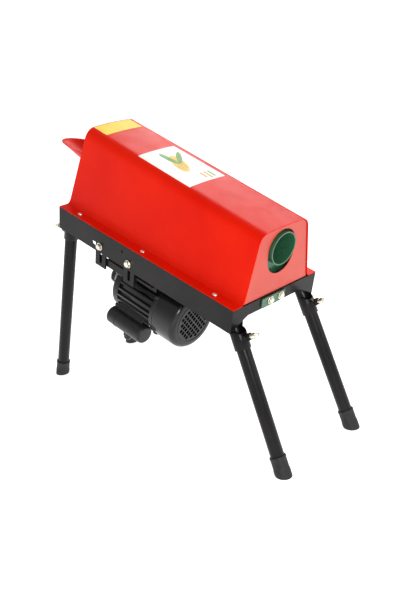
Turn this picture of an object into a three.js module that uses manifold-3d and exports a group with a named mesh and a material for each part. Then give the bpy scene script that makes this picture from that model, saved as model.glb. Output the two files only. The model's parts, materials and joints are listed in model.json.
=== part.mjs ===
// Belt-driven electric maize sheller on four splayed legs.
// Millimetres, +Z up, floor at Z = 0, origin under the middle of the machine.
// Everything but the ground is laid out in the machine's own frame: X runs along the machine
// towards the cob outlet, Z is square to the frame, and Z = 0 is the top of the side rails.
// The whole machine stands nose-down by TILT, so that cobs run from the feed chute to the outlet.
import * as THREE from 'three';
import { mergeVertices } from 'three/addons/utils/BufferGeometryUtils.js';
import Module from 'manifold-3d';

const wasm = await Module();
wasm.setup();

// ---------------------------------------------------------------- driving dimensions
const DEG = Math.PI / 180;
const GAP = 0.3;                    // clearance between touching pieces
const TILT = 14;                    // nose-down slope of the frame, degrees
const FLOOR_DROP = 407;             // height of the machine frame's origin above the floor
const CENTRE_SHIFT = 10.9;          // moves the middle of the bounding box over the origin

const FRAME_LENGTH = 560;
const FRAME_WIDTH = 258;
const RAIL_HEIGHT = 54;
const SHEET = 3;                    // frame steel
const RAIL_SHELF = 26;              // top flange of the side rails
const CROSSBAR_DEPTH = 27;

const HOOD_SHEET = 1.6;
const HOOD_FOOT = 100;              // half width where the wall meets the flange
const HOOD_TOP = 71;                // half width at the shoulders
const HOOD_FRONT_HEIGHT = 145;
const HOOD_REAR_HEIGHT = 187;
const HOOD_REAR_RAKE = 26;          // how far the rear edge leans forward at the top
const HOOD_FRONT_RAKE = 3;
const FLANGE_CURVE = 11;
const SHOULDER_CURVE = 26;
const CROWN = 3;
const SCREW_PITCH = 217;

const CHANNEL_HEIGHT = 98;          // cob channel axis above the rails
const COLLAR_RADIUS = 36;
const ROTOR_HEIGHT = 24;            // rotor axis above the rails
const ROTOR_RADIUS = 34;
const CASING_HALF_WIDTH = 46;
const CASING_REAR = -112;
const CASING_FRONT = 262;

const BELT_X = -140;
const ROTOR_PULLEY_RADIUS = 29;
const MOTOR_PULLEY_RADIUS = 22;
const BELT_DEPTH = 7;
const BELT_WIDTH = 10;
const GROOVE_DEPTH = 9;

const MOTOR_Y = -55;
const MOTOR_Z = -144;
const MOTOR_RADIUS = 60;
const COWL_RADIUS = 66.5;
const MOTOR_REAR = -112;
const MOTOR_FRONT = 112.5;
const SHAFT_RADIUS = 8;
const RUNNING_BORE = 8.15;          // bearings and shields round the turning shafts

const LEG_RADIUS = 14.6;
const LEG_WALL = 2;
const SOCKET_WALL = 2.4;
const LEG_Y = 107;                  // half spacing of the legs at the frame
const LEG_SPREAD = 1.8;             // sideways splay, degrees
const FOOT_RADIUS = 17.5;
const FOOT_HEIGHT = 42;

// x: leg axis where it passes the rails' lower edge; splay: forward lean of the foot, degrees.
// Heights are measured up the leg axis from that edge: the socket's two ends, the top of the
// leg tube inside it and the clamp bolt. face: the way the clamp bolt points along X.
const FRONT_LEG = { x: 279, splay: 35, socketTop: 25, socketEnd: -38, tubeTop: -8, bolt: -15, face: 1 };
const REAR_LEG = { x: -261, splay: -2.5, socketTop: 46, socketEnd: -27, tubeTop: 40, bolt: -13, face: -1 };
const LEGS = [
  { name: 'front_left', side: -1, ...FRONT_LEG },
  { name: 'front_right', side: 1, ...FRONT_LEG },
  { name: 'rear_left', side: -1, ...REAR_LEG },
  { name: 'rear_right', side: 1, ...REAR_LEG },
];

// ---------------------------------------------------------------- materials
const paint = (color, roughness, metalness = 0.1) => () =>
  new THREE.MeshStandardMaterial({ color, roughness, metalness });
const redPaint = paint(0xe02410, 0.32);
const blackPaint = paint(0x262425, 0.42);
const motorPaint = paint(0x1c1c1d, 0.5);
const greenPaint = paint(0x4f8f62, 0.45);
const zinc = paint(0xc9c8c0, 0.3, 0.9);
const steel = paint(0x8d8f92, 0.35, 0.9);
const rubber = paint(0x1b1b1c, 0.85, 0);
const beltRubber = paint(0x202022, 0.8, 0);
const plastic = paint(0x18181a, 0.45, 0);

// ---------------------------------------------------------------- solids
function toManifold(geometry) {
  const bare = geometry.index ? geometry.toNonIndexed() : geometry.clone();
  for (const key of Object.keys(bare.attributes)) {
    if (key !== 'position') bare.deleteAttribute(key);
  }
  const merged = mergeVertices(bare, 1e-4);
  return new wasm.Manifold(new wasm.Mesh({
    numProp: 3,
    vertProperties: new Float32Array(merged.attributes.position.array),
    triVerts: new Uint32Array(merged.index.array),
  }));
}

function toGeometry(manifold) {
  const mesh = manifold.getMesh();
  const geometry = new THREE.BufferGeometry();
  geometry.setAttribute('position', new THREE.BufferAttribute(new Float32Array(mesh.vertProperties), 3));
  geometry.setIndex(new THREE.BufferAttribute(new Uint32Array(mesh.triVerts), 1));
  return geometry;
}

const join = (...pieces) => toGeometry(pieces.map(toManifold).reduce((a, b) => a.add(b)));
const cut = (body, ...tools) =>
  toGeometry(tools.map(toManifold).reduce((a, b) => a.subtract(b), toManifold(body)));

const box = (x0, x1, y0, y1, z0, z1) =>
  new THREE.BoxGeometry(x1 - x0, y1 - y0, z1 - z0)
    .translate((x0 + x1) / 2, (y0 + y1) / 2, (z0 + z1) / 2);

// A cylinder whose axis runs along X, Y or Z through (x, y, z).
function rod(axis, radius, length, x, y, z, sides = 20) {
  const geometry = new THREE.CylinderGeometry(radius, radius, length, sides);
  if (axis === 'x') geometry.rotateZ(-Math.PI / 2);
  if (axis === 'z') geometry.rotateX(Math.PI / 2);
  return geometry.translate(x, y, z);
}

// A turned solid: profile points are [radius, place along the axis], in either direction.
function turned(axis, profile, x, y, z, sides = 24) {
  const points = profile.map(([radius, height]) => new THREE.Vector2(radius, height));
  if (THREE.ShapeUtils.area(points) < 0) points.reverse();
  const geometry = new THREE.LatheGeometry(points, sides);
  if (axis === 'x') geometry.rotateZ(-Math.PI / 2);
  if (axis === 'z') geometry.rotateX(Math.PI / 2);
  return geometry.translate(x, y, z);
}

// A section drawn in Y (across) and Z (up), run along X from x0 to x1.
function along(shape, x0, x1, curveSegments = 6) {
  const options = { depth: x1 - x0, bevelEnabled: false, curveSegments };
  return new THREE.ExtrudeGeometry(shape, options)
    .rotateX(Math.PI / 2)
    .rotateZ(Math.PI / 2)
    .translate(x0, 0, 0);
}

function reshape(geometry, move) {
  const position = geometry.attributes.position;
  const point = new THREE.Vector3();
  for (let i = 0; i < position.count; i += 1) {
    move(point.fromBufferAttribute(position, i));
    position.setXYZ(i, point.x, point.y, point.z);
  }
  return geometry;
}

function outline(points) {
  return new THREE.Shape(points.map(([a, b]) => new THREE.Vector2(a, b)));
}

// Rounds the corner at b between a and c, as `steps` + 1 points.
function rounded(a, b, c, radius, steps = 5) {
  const corner = new THREE.Vector2(...b);
  const before = new THREE.Vector2(...a).sub(corner).normalize();
  const after = new THREE.Vector2(...c).sub(corner).normalize();
  const half = Math.acos(before.dot(after)) / 2;
  const reach = radius / Math.tan(half);
  const start = corner.clone().addScaledVector(before, reach);
  const end = corner.clone().addScaledVector(after, reach);
  const curve = new THREE.QuadraticBezierCurve(start, corner, end);
  return curve.getPoints(steps).map((p) => [p.x, p.y]);
}

const machine = new THREE.Group();
machine.rotation.y = TILT * DEG;
machine.position.set(CENTRE_SHIFT, 0, FLOOR_DROP);
machine.updateMatrixWorld(true);
const object = new THREE.Group();
object.add(machine);

function place(name, geometry, material, parent = machine) {
  const mesh = new THREE.Mesh(geometry, material());
  mesh.name = name;
  parent.add(mesh);
  return mesh;
}

// ---------------------------------------------------------------- frame
const HALF_LENGTH = FRAME_LENGTH / 2;
const HALF_WIDTH = FRAME_WIDTH / 2;
const SCREW_X = [-SCREW_PITCH, 0, SCREW_PITCH];
const SCREW_Y = HALF_WIDTH - 13.5;
const SCREW_SHANK = 3;
const HANGER_X = [-128, -30];       // the motor's hanger brackets
const HANGER_BOLT_Z = -38;
const HANGER_HOLE = 5;
const HANGER_SLOT = 24;             // lets the rear brackets shift along the rail
const BOLT_SHANK = 4;
const BOLT_HEAD = 7.6;              // across the corners, halved

function sideRail(side) {
  const outer = side * HALF_WIDTH;
  const inner = side * (HALF_WIDTH - SHEET);
  const shelf = side * (HALF_WIDTH - RAIL_SHELF);
  const web = box(-HALF_LENGTH, HALF_LENGTH, Math.min(outer, inner), Math.max(outer, inner), -RAIL_HEIGHT, 0);
  const top = box(-HALF_LENGTH, HALF_LENGTH, Math.min(outer, shelf), Math.max(outer, shelf), -SHEET, 0);
  const holes = SCREW_X.map((x) => rod('z', SCREW_SHANK + GAP, 12, x, side * SCREW_Y, 0, 12));
  const hangerHole = (x) => rod('y', HANGER_HOLE, 18, x, outer, HANGER_BOLT_Z, 16);
  const slotEnd = HANGER_X[0] - HANGER_SLOT;
  const slot = join(
    box(slotEnd, HANGER_X[0], outer - 9, outer + 9, HANGER_BOLT_Z - HANGER_HOLE, HANGER_BOLT_Z + HANGER_HOLE),
    hangerHole(slotEnd),
    hangerHole(HANGER_X[0]),
  );
  const boltHole = hangerHole(HANGER_X[1]);
  const spareHole = rod('y', 3, 18, -52, outer, -17, 12);
  return cut(join(web, top), slot, boltHole, spareHole, ...holes);
}
place('side_rail_left', sideRail(-1), blackPaint);
place('side_rail_right', sideRail(1), blackPaint);

// Upright plate between the rails with deep corners, folded back into a shelf along its top.
function crossbar(face) {
  const w = HALF_WIDTH - SHEET - GAP;
  const front = face * HALF_LENGTH;
  const shelfHalf = HALF_WIDTH - RAIL_SHELF - GAP;
  const shelfDepth = 25;
  const underShelf = -SHEET - GAP;
  const right = [
    [shelfHalf, 0], [shelfHalf, underShelf], [w, underShelf], [w, -50], [w - 30, -34],
    [w - 44, -CROSSBAR_DEPTH],
  ];
  const left = right.map(([y, z]) => [-y, z]).reverse();
  const shape = outline([...right, ...left]);
  const web = face > 0 ? along(shape, front - SHEET, front) : along(shape, front, front + SHEET);
  const shelf = face > 0
    ? box(front - shelfDepth, front - 1, -shelfHalf, shelfHalf, -SHEET, 0)
    : box(front + 1, front + shelfDepth, -shelfHalf, shelfHalf, -SHEET, 0);
  return join(web, shelf);
}
const CASING_BOLT_Y = [-20.5, 11.5];
const CASING_BOLT_Z = -12;
const casingBoltHoles = CASING_BOLT_Y.map((y) =>
  rod('x', BOLT_SHANK + GAP, 20, HALF_LENGTH, y, CASING_BOLT_Z, 12));
place('front_crossbar', cut(crossbar(1), ...casingBoltHoles), blackPaint);
place('rear_crossbar', crossbar(-1), blackPaint);

// Flat bars under the rail shelves that carry the rotor's bearings.
const BEARING_X = { rear: -95, front: 240 };
for (const [name, x] of Object.entries(BEARING_X)) {
  const reach = HALF_WIDTH - SHEET - GAP;
  const bar = box(x - 16, x + 16, -reach, reach, -SHEET - GAP - 4, -SHEET - GAP);
  place(`${name}_bearing_bar`, bar, blackPaint);
}

// ---------------------------------------------------------------- hood
// Outer and inner lines of the bent sheet, from the left flange edge over the top to the right one.
function hoodLine(inset, height) {
  const flange = HALF_WIDTH;
  const z = HOOD_SHEET - inset;
  const foot = HOOD_FOOT - inset;
  const top = HOOD_TOP - inset;
  const roof = height - inset;
  const left = [
    [-flange, z],
    ...rounded([-flange, z], [-foot, z], [-top, roof], FLANGE_CURVE + inset),
    ...rounded([-foot, z], [-top, roof], [0, roof + CROWN], SHOULDER_CURVE - inset),
  ];
  const right = left.map(([y, h]) => [-y, h]).reverse();
  return [...left, [0, roof + CROWN], ...right];
}

// Upper points rise and lean with their place along the hood: u is 0 at the front, 1 at the rear.
function hoodTaper(point) {
  const u = (HALF_LENGTH - point.x) / FRAME_LENGTH;
  const rise = Math.max(point.z - HOOD_SHEET, 0) / (HOOD_FRONT_HEIGHT - HOOD_SHEET);
  point.z += rise * u * (HOOD_REAR_HEIGHT - HOOD_FRONT_HEIGHT);
  point.x += rise * (u * HOOD_REAR_RAKE - (1 - u) * HOOD_FRONT_RAKE);
}

const outerLine = hoodLine(0, HOOD_FRONT_HEIGHT);
const innerLine = hoodLine(HOOD_SHEET, HOOD_FRONT_HEIGHT);
const hoodSection = outline([...outerLine, ...[...innerLine].reverse()]);
const hood = reshape(along(hoodSection, -HALF_LENGTH, HALF_LENGTH), hoodTaper);
const hoodLift = GAP;
const flangeHoles = [-1, 1].flatMap((side) =>
  SCREW_X.map((x) => rod('z', SCREW_SHANK + GAP, 12, x, side * SCREW_Y, 0, 12)));
place('hood_shell', cut(hood, ...flangeHoles).translate(0, 0, hoodLift), redPaint);

// End plates lie just inside the hood's sheet and follow its line.
function endPlate(x0, x1, opening) {
  const fit = 0.988;                // narrows the plate clear of the hood's inner face
  const base = 0.4;
  const plinth = 6;                 // the walls are followed from this height up
  const wall = innerLine.filter(([, z]) => z > plinth).map(([y, z]) => [y * fit, z - 2 * GAP]);
  const foot = Math.abs(wall[0][0]) + 2;
  const plate = along(outline([[-foot, base], ...wall, [foot, base]]), x0, x1);
  return cut(reshape(plate, hoodTaper), opening).translate(0, 0, hoodLift);
}
const OUTLET = { halfWidth: 40, low: 82, high: CHANNEL_HEIGHT };
const outletOpening = join(
  box(250, 300, -OUTLET.halfWidth, OUTLET.halfWidth, OUTLET.low, OUTLET.high),
  rod('x', OUTLET.halfWidth, 50, 275, 0, OUTLET.low, 32),
  rod('x', OUTLET.halfWidth, 50, 275, 0, OUTLET.high, 32),
);
const FEED_HALF_WIDTH = 47;
const feedOpening = join(
  box(-300, -230, -FEED_HALF_WIDTH, FEED_HALF_WIDTH, CHANNEL_HEIGHT, CHANNEL_HEIGHT + 34),
  rod('x', FEED_HALF_WIDTH, 70, -265, 0, CHANNEL_HEIGHT, 32),
);
place('front_end_plate', endPlate(HALF_LENGTH - 4, HALF_LENGTH - 2.4, outletOpening), redPaint);
place('rear_end_plate', endPlate(-HALF_LENGTH + 2.4, -HALF_LENGTH + 4, feedOpening), redPaint);

// Feed chute: a half-round trough through the rear plate that rises outwards to a pointed tongue.
const CHUTE_INNER = 42;
const CHUTE_OUTER = 44;
const CHUTE_REAR = -440;
const CHUTE_BEND = -255;            // level inside the hood, rising outside it
const CHUTE_SLOPE = 12;
const LIP_SLOPE = 7;                // the rim falls towards the tongue's tip, degrees
function chuteSection() {
  const wall = 14;
  const steps = 14;
  const arc = (radius) => Array.from({ length: steps + 1 }, (_, i) => {
    const angle = Math.PI + (Math.PI * i) / steps;
    return [radius * Math.cos(angle), radius * Math.sin(angle)];
  });
  return outline([
    [-CHUTE_OUTER, wall], ...arc(CHUTE_OUTER), [CHUTE_OUTER, wall],
    [CHUTE_INNER, wall], ...arc(CHUTE_INNER).reverse(), [-CHUTE_INNER, wall],
  ]);
}
function feedChute() {
  const inside = CASING_REAR - GAP;
  const level = along(chuteSection(), CHUTE_BEND - 1, inside);
  const rising = reshape(along(chuteSection(), CHUTE_REAR, CHUTE_BEND), (p) => {
    p.z += Math.tan(CHUTE_SLOPE * DEG) * (CHUTE_BEND - p.x);
  });
  // everything above the lip plane is cut away, which leaves a tongue
  const scarf = new THREE.BoxGeometry(300, 200, 100).translate(-150, 0, 50);
  scarf.rotateY(LIP_SLOPE * -DEG);
  scarf.translate(CHUTE_BEND - 21.5, 0, CHANNEL_HEIGHT + 13);
  return cut(join(level, rising).translate(0, 0, CHANNEL_HEIGHT), scarf);
}
place('feed_chute', feedChute(), redPaint);

for (const [i, x] of SCREW_X.entries()) {
  for (const [label, side] of [['left', -1], ['right', 1]]) {
    const seat = HOOD_SHEET + hoodLift + GAP;
    const profile = [[0, -9], [SCREW_SHANK, -9], [SCREW_SHANK, seat], [6, seat], [6, seat + 1.6],
      [4.2, seat + 3.4], [0, seat + 3.8]];
    place(`hood_screw_${label}_${i + 1}`, turned('z', profile, x, side * SCREW_Y, 0, 14), zinc);
  }
}

// ---------------------------------------------------------------- threshing unit
// Keyhole-shaped casing: cob channel on top, toothed rotor below, open underneath for the kernels.
function casingOutline(inset, foot) {
  const half = CASING_HALF_WIDTH - inset;
  const arc = Array.from({ length: 17 }, (_, i) => {
    const angle = Math.PI - (Math.PI * i) / 16;
    return [half * Math.cos(angle), CHANNEL_HEIGHT - 6 + half * Math.sin(angle)];
  });
  return [[-half, foot], ...arc, [half, foot]];
}
const casingSheet = 2;
const casingShape = outline([
  ...casingOutline(0, 0.4), ...casingOutline(casingSheet, 0.4).reverse(),
]);
const casingEndShape = outline(casingOutline(1, 0.4));
const casingEnds = [CASING_REAR, CASING_FRONT - 3].map((x) => along(casingEndShape, x, x + 3));
const bearingClearance = 17;
const casing = cut(
  join(along(casingShape, CASING_REAR, CASING_FRONT), ...casingEnds),
  rod('x', 34, 20, CASING_REAR, 0, CHANNEL_HEIGHT, 28),
  rod('x', bearingClearance, 20, CASING_REAR, 0, ROTOR_HEIGHT, 20),
  rod('x', COLLAR_RADIUS + GAP, 20, CASING_FRONT, 0, CHANNEL_HEIGHT, 28),
);
place('threshing_casing', casing, greenPaint);

const collarProfile = [
  [COLLAR_RADIUS - 3, -22], [COLLAR_RADIUS, -22], [COLLAR_RADIUS, 18], [COLLAR_RADIUS - 1.2, 19.2],
  [COLLAR_RADIUS - 3, 19.2], [COLLAR_RADIUS - 3, -22],
];
place('outlet_collar', turned('x', collarProfile, CASING_FRONT, 0, CHANNEL_HEIGHT, 32), greenPaint);

// Green foot of the casing, bolted to the front of the crossbar.
const footSheet = 3;
const footFace = HALF_LENGTH + GAP;
const footShape = outline([[-46, -2], [25, -2], [25, -10], [12, -25], [-42, -25], [-46, -21]]);
const foot = along(footShape, footFace, footFace + footSheet);
place('casing_foot', cut(foot, ...casingBoltHoles), greenPaint);
for (const [i, y] of CASING_BOLT_Y.entries()) {
  const seat = footFace + footSheet + GAP;
  const bolt = join(
    rod('x', BOLT_HEAD, 5.5, seat + 2.75, y, CASING_BOLT_Z, 6),
    rod('x', BOLT_SHANK, 22, seat - 10.5, y, CASING_BOLT_Z, 14),
  );
  place(`casing_bolt_${i + 1}`, bolt, zinc);
}

const sieveDrop = CASING_HALF_WIDTH - casingSheet - GAP;
function sieve() {
  const arc = (radius) => Array.from({ length: 13 }, (_, i) => {
    const angle = Math.PI + 20 * DEG + ((Math.PI - 40 * DEG) * i) / 12;
    return [radius * Math.cos(angle), ROTOR_HEIGHT + radius * Math.sin(angle)];
  });
  const shape = outline([...arc(sieveDrop - 1), ...arc(sieveDrop - 2.6).reverse()]);
  const windows = [];
  for (let x = -60; x < 220; x += 56) windows.push(box(x - 20, x + 20, -10, 10, -40, 10));
  return cut(along(shape, CASING_REAR + 34, 208), ...windows);
}
place('kernel_sieve', sieve(), steel);

// ---------------------------------------------------------------- rotor
function rotorDrum() {
  const rear = -76;
  const front = 206;
  const shaftEnds = [-166, 256];
  const drum = 22;
  const root = drum - 2;            // ribs and rings sink this deep into the drum
  const core = [
    [0, shaftEnds[0]], [SHAFT_RADIUS, shaftEnds[0]], [SHAFT_RADIUS, rear], [drum, rear], [drum, front],
    [SHAFT_RADIUS, front], [SHAFT_RADIUS, shaftEnds[1]], [0, shaftEnds[1]],
  ];
  const ribs = 4;
  const ribShape = outline([[-3, root], [3, root], [3, ROTOR_RADIUS], [-3, ROTOR_RADIUS]]);
  const ribbing = Array.from({ length: ribs }, (_, i) =>
    along(ribShape, rear + 4, front - 4).rotateX((i * 2 * Math.PI) / ribs));
  const ring = [[root, 0], [ROTOR_RADIUS, 0], [ROTOR_RADIUS, 4], [root, 4], [root, 0]];
  const rings = [rear + 4, (rear + front) / 2 - 2, front - 8].map((x) => turned('x', ring, x, 0, 0, 16));
  const body = turned('x', core, 0, 0, 0, 16);
  return join(body, ...ribbing, ...rings).translate(0, 0, ROTOR_HEIGHT);
}
place('threshing_rotor', rotorDrum(), steel);

function pulley(radius, bore, width) {
  const root = radius - GROOVE_DEPTH;
  const half = width / 2;
  const grooveHalf = BELT_WIDTH / 2 + GAP;
  return [
    [bore, -half], [radius, -half], [radius, -grooveHalf], [root, -grooveHalf], [root, grooveHalf],
    [radius, grooveHalf], [radius, half], [bore, half], [bore, -half],
  ];
}
const shaftBore = SHAFT_RADIUS + GAP;
const pulleyWidth = 18;
const rotorPulley = pulley(ROTOR_PULLEY_RADIUS, shaftBore, pulleyWidth);
place('rotor_pulley', turned('x', rotorPulley, BELT_X, 0, ROTOR_HEIGHT), steel);

for (const [name, x] of Object.entries(BEARING_X)) {
  const low = GAP - SHEET;
  const halfWidth = 13;
  const housing = 19;
  const base = box(x - halfWidth, x + halfWidth, -40, 40, low, 9);
  const column = box(x - halfWidth, x + halfWidth, -housing, housing, low, ROTOR_HEIGHT);
  const barrel = rod('x', housing, 2 * halfWidth, x, 0, ROTOR_HEIGHT, 24);
  const shaftHole = rod('x', RUNNING_BORE, 60, x, 0, ROTOR_HEIGHT, 28);
  place(`${name}_bearing_block`, cut(join(base, column, barrel), shaftHole), motorPaint);
}

// Belt: two arcs joined by straight runs, drawn round both pulleys.
function beltLoop(extra) {
  const a = { y: 0, z: ROTOR_HEIGHT, r: ROTOR_PULLEY_RADIUS - GROOVE_DEPTH + GAP + extra };
  const b = { y: MOTOR_Y, z: MOTOR_Z, r: MOTOR_PULLEY_RADIUS - GROOVE_DEPTH + GAP + extra };
  const span = Math.hypot(b.y - a.y, b.z - a.z);
  const heading = Math.atan2(b.z - a.z, b.y - a.y);
  const open = Math.acos((a.r - b.r) / span);
  const steps = 12;
  const arc = (c, from, to) => Array.from({ length: steps + 1 }, (_, i) => {
    const angle = from + ((to - from) * i) / steps;
    return [c.y + c.r * Math.cos(angle), c.z + c.r * Math.sin(angle)];
  });
  return [
    ...arc(b, heading - open, heading + open),
    ...arc(a, heading + open, heading + 2 * Math.PI - open),
  ];
}
const beltShape = outline(beltLoop(BELT_DEPTH));
beltShape.holes.push(outline(beltLoop(0)));
const belt = along(beltShape, BELT_X - BELT_WIDTH / 2, BELT_X + BELT_WIDTH / 2);
place('drive_belt', belt, beltRubber);

// ---------------------------------------------------------------- motor
const motorPart = (axisX, profile, sides = 28) => turned('x', profile, axisX, MOTOR_Y, MOTOR_Z, sides);
const STATOR_REAR = MOTOR_REAR + 34;
const STATOR_FRONT = 35;
const CRADLE_Z = -70;

// Finned housing with its foot; the fan-end wall is cast in one with it.
function stator() {
  const fins = 24;
  const root = MOTOR_RADIUS - 6;
  const points = [];
  for (let i = 0; i < fins; i += 1) {
    const middle = (2 * Math.PI * i) / fins;
    const step = Math.PI / fins;
    for (const [turn, radius] of [[-0.55, root], [-0.3, MOTOR_RADIUS], [0.3, MOTOR_RADIUS], [0.55, root]]) {
      const angle = middle + turn * step;
      points.push([MOTOR_Y + radius * Math.cos(angle), MOTOR_Z + radius * Math.sin(angle)]);
    }
  }
  const foot = box(-66, 25, MOTOR_Y - 36, MOTOR_Y + 36, MOTOR_Z + 30, CRADLE_Z - GAP);
  const boreLength = STATOR_FRONT - STATOR_REAR + 2;
  const bore = rod('x', 31, boreLength, STATOR_FRONT - boreLength / 2, MOTOR_Y, MOTOR_Z, 24);
  const housing = cut(join(along(outline(points), STATOR_REAR, STATOR_FRONT), foot), bore);
  const fanEnd = [
    [RUNNING_BORE, -1], [MOTOR_RADIUS - 8, -1], [MOTOR_RADIUS - 8, 11], [18, 14], [18, 20],
    [RUNNING_BORE, 20], [RUNNING_BORE, -1],
  ];
  return join(housing, motorPart(STATOR_FRONT, fanEnd));
}
place('motor_stator', stator(), motorPaint);

const driveShield = [
  [RUNNING_BORE, 0], [22, 0], [22, 6], [36, 9], [MOTOR_RADIUS - 4, 13], [MOTOR_RADIUS, 17],
  [MOTOR_RADIUS, 33.7], [53, 33.7], [53, 24], [RUNNING_BORE, 15], [RUNNING_BORE, 0],
];
place('drive_end_shield', motorPart(MOTOR_REAR, driveShield), motorPaint);

const cowlDepth = MOTOR_FRONT - STATOR_FRONT - 3;
const cowlWall = 1.8;
const cowlCurve = 13;               // rounding between the cowl's side and its grille face
const cowlOuter = [
  [0, cowlDepth], [COWL_RADIUS - cowlCurve, cowlDepth], [COWL_RADIUS - 7, cowlDepth - 1.5],
  [COWL_RADIUS - 2.5, cowlDepth - 5], [COWL_RADIUS, cowlDepth - cowlCurve], [COWL_RADIUS, 0],
];
const cowlInner = cowlOuter.map(([r, x]) => [Math.max(r - cowlWall, 0), x === 0 ? 0 : x - cowlWall]);
const cowl = [...cowlOuter, ...cowlInner.reverse()];
place('fan_cowl', motorPart(STATOR_FRONT + 3, cowl), motorPaint);

function fan() {
  const hub = [[SHAFT_RADIUS - 1.7, 0], [14, 0], [14, 12], [SHAFT_RADIUS - 1.7, 12], [SHAFT_RADIUS - 1.7, 0]];
  const tip = 50;
  const disc = [[12, 0], [tip, 0], [tip, 1.8], [12, 1.8], [12, 0]];
  const blades = Array.from({ length: 7 }, (_, i) =>
    box(0, 16, -0.9, 0.9, 13, tip).rotateX((i * 2 * Math.PI) / 7));
  return join(turned('x', hub, 0, 0, 0, 18), turned('x', disc, 0, 0, 0, 24), ...blades)
    .translate(STATOR_FRONT + 24, MOTOR_Y, MOTOR_Z);
}
place('cooling_fan', fan(), plastic);

const fanSeat = SHAFT_RADIUS - 2;
const shaftRear = BELT_X - 14;
const shaftFront = STATOR_FRONT + 38;
const core = { radius: 29, rear: -66, front: 24 };
const shaftProfile = [
  [0, shaftRear], [SHAFT_RADIUS, shaftRear], [SHAFT_RADIUS, core.rear], [core.radius, core.rear],
  [core.radius, core.front], [SHAFT_RADIUS, core.front], [SHAFT_RADIUS, STATOR_FRONT + 23],
  [fanSeat, STATOR_FRONT + 23], [fanSeat, shaftFront], [0, shaftFront],
];
place('motor_shaft', motorPart(0, shaftProfile, 20), steel);
place('motor_pulley', motorPart(BELT_X, pulley(MOTOR_PULLEY_RADIUS, shaftBore, pulleyWidth), 24), steel);

// Capacitor tub under the near side of the motor, with the cable gland on its lower side.
const CAPACITOR = { y: MOTOR_Y - 57, z: MOTOR_Z - 62, r: 22, rear: -95, length: 116 };
const tubProfile = [
  [0, 0], [CAPACITOR.r - 4, 0], [CAPACITOR.r, 5], [CAPACITOR.r, CAPACITOR.length - 5],
  [CAPACITOR.r - 5, CAPACITOR.length], [0, CAPACITOR.length],
];
function capacitorTub() {
  const tub = turned('x', tubProfile, CAPACITOR.rear, CAPACITOR.y, CAPACITOR.z, 24);
  const saddle = new THREE.BoxGeometry(90, 30, 30);
  saddle.rotateX(-43 * DEG);
  saddle.translate(-40, CAPACITOR.y + 15, CAPACITOR.z + 16);
  const motorBody = rod('x', MOTOR_RADIUS + GAP, 300, 0, MOTOR_Y, MOTOR_Z, 52);
  return cut(join(tub, saddle), motorBody);
}
place('capacitor_tub', capacitorTub(), plastic);
const gland = [[4, 0], [11, 0], [11, 12], [9, 16], [7, 19], [4, 19], [4, 0]];
const glandGeometry = turned('z', gland, 0, 0, 0, 16).rotateX(Math.PI);
place('cable_gland', glandGeometry.translate(-38, CAPACITOR.y, CAPACITOR.z - CAPACITOR.r - GAP), plastic);

// Cradle plate that carries the motor; its ears turn down inside the hanger brackets.
const BRACKET_SHEET = 3.5;
const CRADLE_SHEET = 4;
const CRADLE_REACH = HALF_WIDTH - SHEET - BRACKET_SHEET - 4 * GAP;
const PLATE_SPAN = [-112, 39];
const EAR_SPAN = [-141, -12];
const EAR_FOOT = -84;
const CRADLE_BOLT_Z = -76;
function cradle() {
  const top = CRADLE_Z + CRADLE_SHEET;
  const plate = box(...PLATE_SPAN, -CRADLE_REACH, CRADLE_REACH, CRADLE_Z, top);
  const ears = [-1, 1].map((side) => {
    const [y0, y1] = [side * CRADLE_REACH, side * (CRADLE_REACH - CRADLE_SHEET)].sort((a, b) => a - b);
    return box(...EAR_SPAN, y0, y1, EAR_FOOT, top);
  });
  const boltHoles = HANGER_X.flatMap((x) => [-1, 1].map((side) =>
    rod('y', BOLT_SHANK + GAP, 20, x, side * CRADLE_REACH, CRADLE_BOLT_Z, 12)));
  return cut(join(plate, ...ears), ...boltHoles);
}
place('motor_cradle', cradle(), blackPaint);

// Hanger brackets bolted inside the rails, each with an upright slot for belt tension.
const BRACKET_FOOT = -91;
const BRACKET_TOP = -22;
const SLOT_HALF_WIDTH = 4.5;
const SLOT_ENDS = [-78, -56];
for (const [label, side] of [['left', -1], ['right', 1]]) {
  for (const [i, x] of HANGER_X.entries()) {
    const face = side * (HALF_WIDTH - SHEET - GAP);
    const back = face - side * BRACKET_SHEET;
    const [y0, y1] = [face, back].sort((a, b) => a - b);
    const plate = box(x - 19, x + 17, y0, y1, BRACKET_FOOT, BRACKET_TOP);
    const slot = join(
      box(x - SLOT_HALF_WIDTH, x + SLOT_HALF_WIDTH, face - 9, face + 9, ...SLOT_ENDS),
      ...SLOT_ENDS.map((z) => rod('y', SLOT_HALF_WIDTH, 18, x, face, z, 14)),
    );
    const boltHole = rod('y', BOLT_SHANK + GAP, 20, x, face, HANGER_BOLT_Z, 12);
    place(`hanger_bracket_${label}_${i + 1}`, cut(plate, slot, boltHole), blackPaint);
    const seat = side * (HALF_WIDTH + GAP);
    const washer = rod('y', 9, 1.6, x, seat + side * 0.8, HANGER_BOLT_Z, 20);
    const head = rod('y', BOLT_HEAD, 6, x, seat + side * 4.4, HANGER_BOLT_Z, 6);
    // the shank ends flush with the bracket, clear of the cradle's ear
    const shankEnd = back + side * GAP;
    const shankLength = Math.abs(seat - shankEnd) + 1;
    const shank = rod('y', BOLT_SHANK, shankLength, x, shankEnd + side * shankLength / 2, HANGER_BOLT_Z, 14);
    place(`hanger_bolt_${label}_${i + 1}`, join(washer, head, shank), zinc);
  }
}

// ---------------------------------------------------------------- legs
// Each leg has its own frame: origin where its axis passes the rail's lower edge, -Z down the leg.
const LEG_SIDES = 24;
const machineMatrix = machine.matrixWorld;
const innerFace = HALF_WIDTH - SHEET - GAP;
const endFace = HALF_LENGTH - SHEET - GAP;
const cornerEdge = -50 - GAP;
const FAR = 400;
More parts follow.
